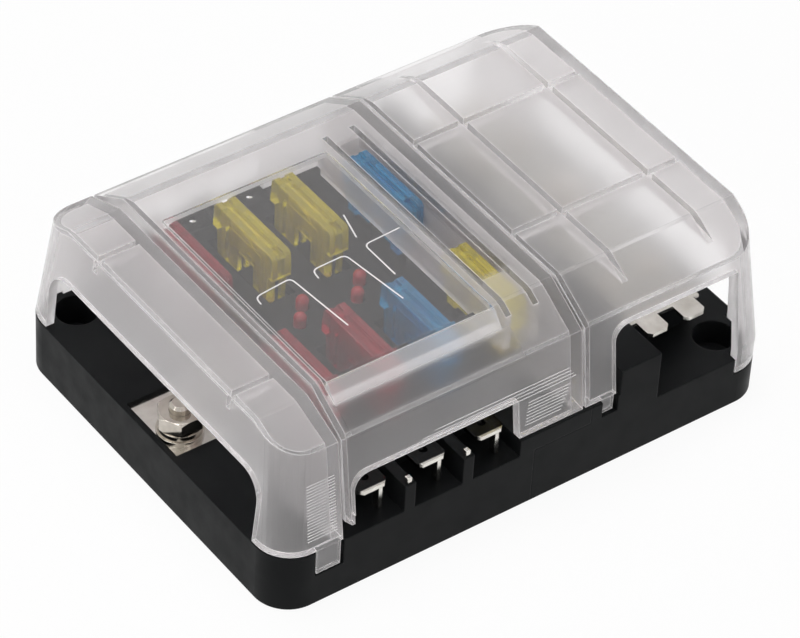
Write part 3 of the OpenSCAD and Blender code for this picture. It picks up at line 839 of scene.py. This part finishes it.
class Fuses(SubAssembly):
    """Blade fuses in use and the spare ones in the cover."""

    rounding = 0.22
    tints = {
        "front_fuse_body_1": Finish.RED, "front_fuse_body_2": Finish.RED, "front_fuse_body_3": Finish.BLUE,
        "rear_fuse_body_1": Finish.RED, "rear_fuse_body_2": Finish.YELLOW, "rear_fuse_body_3": Finish.YELLOW,
        "spare_fuse_body_1": Finish.YELLOW, "spare_fuse_body_2": Finish.BLUE,
    }

    def build(self) -> None:
        """Puts a detailed body in the place of each plain one, and dresses the elements."""
        shape = FuseShape().make()
        for name, tint in self.tints.items():
            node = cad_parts[name]
            spots = [node.matrix_world @ Vector(c) / MM for c in node.bound_box]
            low, high = ([pick(spot[k] for spot in spots) for k in range(3)] for pick in (min, max))
            mesh = bmesh.new()
            mesh.from_mesh(shape)
            foot = Vector(((low[0] + high[0]) / 2, (low[1] + high[1]) / 2, low[2]))
            bmesh.ops.translate(mesh, vec=foot, verts=mesh.verts)
            body = Body.FUSE_COVER if name.startswith("spare") else Body.BASE
            self.add_piece(f"{name}_detailed", mesh, tint, [name], self.rounding, body)
            self.dress([name.replace("body", "element")], Finish.COPPER)


@dataclass
class Lamps:
    """Red indicator lamps on their board."""

    finishes: Finishes
    columns: int = 3

    def build(self) -> None:
        """Dresses the lamps and the board."""
        dress = SubAssembly(self.finishes).dress
        dress([f"{row}_lamp_{i + 1}" for row in ("front", "rear") for i in range(self.columns)], Finish.LAMP)
        dress(["lamp_board"], Finish.BOARD)


@dataclass(frozen=True)
class GripRows:
    """Evenly stepped grip lines, in millimetres.

    Attributes:
        count: How many lines.
        first: Start x, end x and height of the first.
        step: What each next line adds to the three.
    """

    count: int
    first: Point
    step: Point

    def lines(self) -> list[Point]:
        """Returns start x, end x and height of each line."""
        return [tuple(a + b * i for a, b in zip(self.first, self.step)) for i in range(self.count)]


@dataclass(frozen=True)
class Wall:
    """Leaning side wall of the covers, in millimetres."""

    foot_y: float = 41.5
    foot_z: float = 12.3
    ridge_z: float = 33.6
    lean: float = 2.8

    def spot(self, x: float, z: float, side: int) -> Point:
        """Returns the point of the wall at x and z, on side -1 for the front or 1 for the rear."""
        return (x, side * (self.foot_y - self.lean * (z - self.foot_z) / (self.ridge_z - self.foot_z)), z)

    def normal(self, side: int) -> Vector:
        """Returns the outward direction of the wall."""
        return Vector((0, side * (self.ridge_z - self.foot_z), self.lean)).normalized()


class Cover(SubAssembly):
    """A cover with fine grip lines on its side walls."""

    wall = Wall()
    line_width = 0.16
    line_height = 0.07

    def grip_lines(self, name: str, lines: Sequence[tuple[float, float, float]]) -> None:
        """Adds the same grip lines on the front and on the rear wall.

        Args:
            name: Name of the piece.
            lines: Start x, end x and height of each line, in millimetres.
        """
        mesh = bmesh.new()
        for side in (-1, 1):
            for start, end, z in lines:
                path = [self.wall.spot(start, z, side), self.wall.spot(end, z, side)]
                ridge(mesh, path, self.wall.normal(side), self.line_width, self.line_height)
        self.add_piece(name, mesh, Finish.LINES)


class FuseCover(Cover):
    """Middle cover: a clear window with painted highlights, drawn as low white ridges, along the lit walls
    of its label fields.
    """

    body = Body.FUSE_COVER
    window_top = 40.0
    highlight_width = 0.3
    highlight_height = 0.08
    highlight_radius = 1.2
    short_lines = GripRows(8, (-1.6, 6.4, 18.6), (0.12, 0.3, 0.66))
    long_lines = GripRows(4, (-30.0, 9.8, 24.5), (3, -0.5, 0.72))
    lit_wall_paths = (
        ((-36.6, -8.2), (-36.4, -6.1), (-28.4, -5.3), (-27.0, -20.9)),
        ((-24.2, -8.0), (-23.9, -5.6), (-16.7, -5.4), (-14.8, -20.4)),
        ((-12.2, -14.4), (-12.2, -5.0), (-4.2, -4.6)),
        ((-10.6, 3.6), (-12.2, -2.6)),
    )

    def build(self) -> None:
        """Dresses the cover and adds the lines on it."""
        self.dress(["fuse_cover"], Finish.WINDOW)
        mesh = bmesh.new()
        # Painted highlights: white ridges only along the walls of the label recesses that catch the light.
        for path in self.lit_wall_paths:
            ridge(mesh, rounded_path(path, self.highlight_radius, self.window_top), Vector((0, 0, 1)),
                  self.highlight_width, self.highlight_height)
        self.add_piece("label_field_highlights", mesh, Finish.LINES)
        self.grip_lines("fuse_cover_grip_lines", self.short_lines.lines() + self.long_lines.lines())


class StudCover(Cover):
    """Cover over the supply stud."""

    body = Body.STUD_COVER
    rows = GripRows(20, (-48.8, -42.5, 15.3), (0.02, 0, 0.62))
    stagger = 0.1

    def build(self) -> None:
        """Dresses the cover and adds its grip lines."""
        self.dress(["stud_cover"], Finish.FROSTED)
        lines = [(start, end - self.stagger * (i % 2), z)
                 for i, (start, end, z) in enumerate(self.rows.lines())]
        self.grip_lines("stud_cover_grip_lines", lines)


class BusCover(Cover):
    """Cover over the ground bus."""

    body = Body.BUS_COVER

    def build(self) -> None:
        """Dresses the cover."""
        self.dress(["bus_cover"], Finish.FROSTED)


@dataclass
class Studio:
    """White floor, soft lamps and the camera.

    Attributes:
        eye: Place of the camera, in metres.
        right: Direction to the right of the picture.
        down: Direction down the picture.
        ahead: Direction in which the camera looks.
        lens: Focal length, in millimetres.
        ambient: Light from all sides.
        floor_size: Side of the floor, in metres.
        floor_z: Height of the floor, just under the box.
        floor_white: Brightness of its matt part.
        floor_glow: Share of plain white in what the eye sees of it.
    """

    eye: Point = (-0.37867, -0.48192, 0.55886)
    right: Point = (0.80947475, -0.58537259, 0.04587505)
    down: Point = (-0.36249856, -0.55971062, -0.74516007)
    ahead: Point = (0.46186822, 0.58650442, -0.6653437)
    lens: float = 201.42
    ambient: float = 0.38
    floor_size: float = 12.0
    floor_z: float = -0.0002
    floor_white: float = 0.86
    floor_glow: float = 0.93

    def build(self) -> None:
        """Makes the camera, the world, the floor and the lamps."""
        self.make_camera()
        self.make_world()
        self.make_floor()
        self.make_lamp("overhead_softbox", (-0.2, 0.25, 1.15), 0.9, 9.0)
        self.make_lamp("left_softbox", (-1.1, -0.1, 0.5), 0.6, 3.5)
        self.make_lamp("front_softbox", (0.3, -1.1, 0.7), 0.6, 2.2)

    def make_camera(self) -> None:
        """Sets the camera at the photograph's place and angle."""
        data = bpy.data.cameras.new("camera")
        data.sensor_fit = "HORIZONTAL"
        data.sensor_width = 36.0
        data.lens = self.lens
        data.clip_start = 0.01
        camera = bpy.data.objects.new("camera", data)
        turn = Matrix((self.right, [-v for v in self.down], [-v for v in self.ahead])).transposed().to_4x4()
        camera.matrix_world = Matrix.Translation(self.eye) @ turn
        bpy.context.scene.collection.objects.link(camera)
        bpy.context.scene.camera = camera

    def make_world(self) -> None:
        """Lights the scene from all sides, with a white background for what the eye sees."""
        world = bpy.data.worlds.new("studio")
        world.use_nodes = True
        tree = world.node_tree
        tree.nodes.clear()
        output = tree.nodes.new("ShaderNodeOutputWorld")
        back = tree.nodes.new("ShaderNodeBackground")
        tree.links.new(back.outputs[0], output.inputs[0])
        level = tree.nodes.new("ShaderNodeMapRange")
        level.inputs["To Min"].default_value = self.ambient
        level.inputs["To Max"].default_value = 1.0
        tree.links.new(self.seen_rays(tree), level.inputs["Value"])
        tree.links.new(level.outputs[0], back.inputs["Strength"])
        bpy.context.scene.world = world

    @staticmethod
    def seen_rays(tree: bpy.types.NodeTree) -> bpy.types.NodeSocket:
        """Marks camera rays and what is seen in metal or through glass.

        Args:
            tree: Node tree that gets the nodes.

        Returns:
            A socket that is 1 for those rays.
        """
        path = tree.nodes.new("ShaderNodeLightPath")
        total = path.outputs["Is Camera Ray"]
        for name in ("Is Glossy Ray", "Is Transmission Ray"):
            node = tree.nodes.new("ShaderNodeMath")
            node.operation = "MAXIMUM"
            tree.links.new(total, node.inputs[0])
            tree.links.new(path.outputs[name], node.inputs[1])
            total = node.outputs[0]
        return total

    def make_floor(self) -> None:
        """Lays a wide white floor that keeps a faint shadow."""
        bpy.ops.mesh.primitive_plane_add(size=self.floor_size, location=(0, 0, self.floor_z))
        floor = bpy.context.object
        floor.name = "floor"
        material = bpy.data.materials.new("floor_finish")
        material.use_nodes = True
        tree = material.node_tree
        tree.nodes.clear()
        output = tree.nodes.new("ShaderNodeOutputMaterial")
        matt = tree.nodes.new("ShaderNodeBsdfDiffuse")
        matt.inputs[0].default_value = (*[self.floor_white] * 3, 1)
        glow = tree.nodes.new("ShaderNodeEmission")
        glow.inputs[1].default_value = 1.0
        mix = tree.nodes.new("ShaderNodeMixShader")
        share = tree.nodes.new("ShaderNodeMath")
        share.operation = "MULTIPLY"
        share.inputs[1].default_value = self.floor_glow
        tree.links.new(self.seen_rays(tree), share.inputs[0])
        tree.links.new(share.outputs[0], mix.inputs[0])
        tree.links.new(matt.outputs[0], mix.inputs[1])
        tree.links.new(glow.outputs[0], mix.inputs[2])
        tree.links.new(mix.outputs[0], output.inputs[0])
        floor.data.materials.append(material)
        floor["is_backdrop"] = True

    @staticmethod
    def make_lamp(name: str, place: Point, size: float, power: float) -> None:
        """Hangs a square softbox that points at the box.

        Args:
            name: Name of the lamp.
            place: Where it hangs, in metres.
            size: Side of its square.
            power: Power in watts.
        """
        data = bpy.data.lights.new(name, "AREA")
        data.size = size
        data.energy = power
        lamp = bpy.data.objects.new(name, data)
        lamp.location = place
        lamp.rotation_euler = (-Vector(place)).to_track_quat("-Z", "Y").to_euler()
        bpy.context.scene.collection.objects.link(lamp)


def corners(box: Iterable[Iterable[float]]) -> list[list[float]]:
    """Returns the two corners of a box as plain lists."""
    return [[float(v) for v in corner] for corner in box]


def main() -> None:
    """Builds the looks of the whole box, sub-assembly by sub-assembly."""
    logging.basicConfig(level=logging.INFO, format="%(name)s: %(message)s")
    sizes = {"cad": corners(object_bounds())}
    finishes = Finishes()
    bpy.context.scene.view_settings.view_transform = "Standard"
    Studio().build()
    Mouldings(finishes).build()
    Metalwork(finishes).build()
    Fuses(finishes).build()
    Lamps(finishes).build()
    FuseCover(finishes).build()
    StudCover(finishes).build()
    BusCover(finishes).build()
    sizes["visual"] = corners(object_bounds())


if __name__ == "__main__":
    main()
